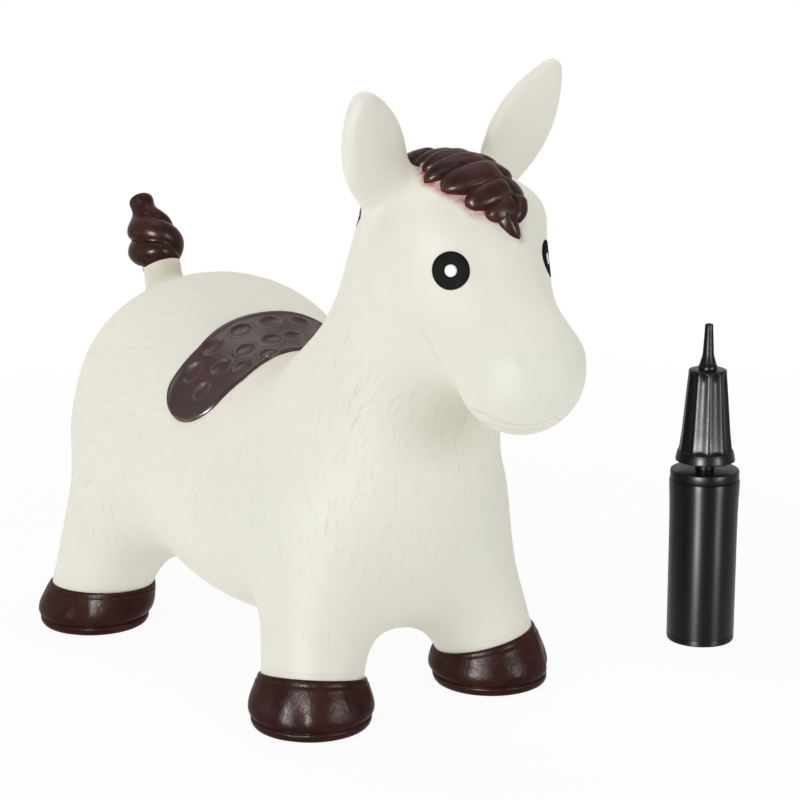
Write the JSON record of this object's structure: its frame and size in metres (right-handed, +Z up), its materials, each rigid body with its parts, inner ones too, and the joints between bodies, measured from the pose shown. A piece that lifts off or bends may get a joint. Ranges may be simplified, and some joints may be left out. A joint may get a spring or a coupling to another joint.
{
  "type": "animal hopper",
  "caption": "Inflatable soft-vinyl donkey that a child sits on and hops along, with hooves, ears, mane, saddle and tail, a plugged belly valve and the hand pump that fills it.",
  "frame": {"origin": "on the floor below the middle of the set's bounding box", "axes": "+X the way the animal faces, +Y its left, +Z up"},
  "size_m": [0.5896, 0.4652, 0.4973],
  "materials": {
    "vinyl_skin": "soft matte cream vinyl with shallow moulded hair strokes",
    "brown_paint": "dark brown semi-gloss paint on the same vinyl",
    "eye_black": "satin black paint",
    "eye_white": "satin white paint",
    "valve_white": "soft white vinyl",
    "pump_gloss": "glossy black moulded plastic",
    "pump_satin": "satin black moulded plastic",
    "pump_rubber": "matte black rubber"
  },
  "bodies": {
    "hopper": {"hindquarter_skin": "vinyl_skin", "forequarter_skin": "vinyl_skin", "neck_skin": "vinyl_skin", "head_skin": "vinyl_skin", "front_right_leg_skin": "vinyl_skin", "front_left_leg_skin": "vinyl_skin", "rear_right_leg_skin": "vinyl_skin", "rear_left_leg_skin": "vinyl_skin", "front_right_hoof": "brown_paint", "front_left_hoof": "brown_paint", "rear_right_hoof": "brown_paint", "rear_left_hoof": "brown_paint", "right_ear": "vinyl_skin", "left_ear": "vinyl_skin", "tail_dock": "vinyl_skin", "tail_tuft": "brown_paint", "saddle": "brown_paint", "mane": "brown_paint", "forelock": "brown_paint", "right_eye": "eye_black", "left_eye": "eye_black", "right_eye_dot": "eye_white", "left_eye_dot": "eye_white", "valve_seat": "valve_white"},
    "stopper": {"valve_plug": "valve_white"},
    "pump_stand": {"pump_barrel": "pump_gloss", "pump_collar": "pump_satin"},
    "pump_plunger": {"pump_rod": "pump_satin", "pump_piston": "pump_satin", "piston_seal": "pump_rubber", "check_flap": "pump_rubber", "pump_grip": "pump_satin", "pump_nozzle": "pump_satin"}
  },
  "joints": [
    {"name": "valve_plug_pull", "type": "slide", "parent": "hopper", "child": "stopper", "axis": [0, 0, -1], "range_m": [0, 0.022]},
    {"name": "pump_lift", "type": "slide", "parent": "hopper", "child": "pump_stand", "axis": [0, 0, 1], "range_m": [0, 0.2]},
    {"name": "pump_stroke", "type": "slide", "parent": "pump_stand", "child": "pump_plunger", "axis": [0, 0, 1], "range_m": [-0.0071, 0.11]}
  ]
}
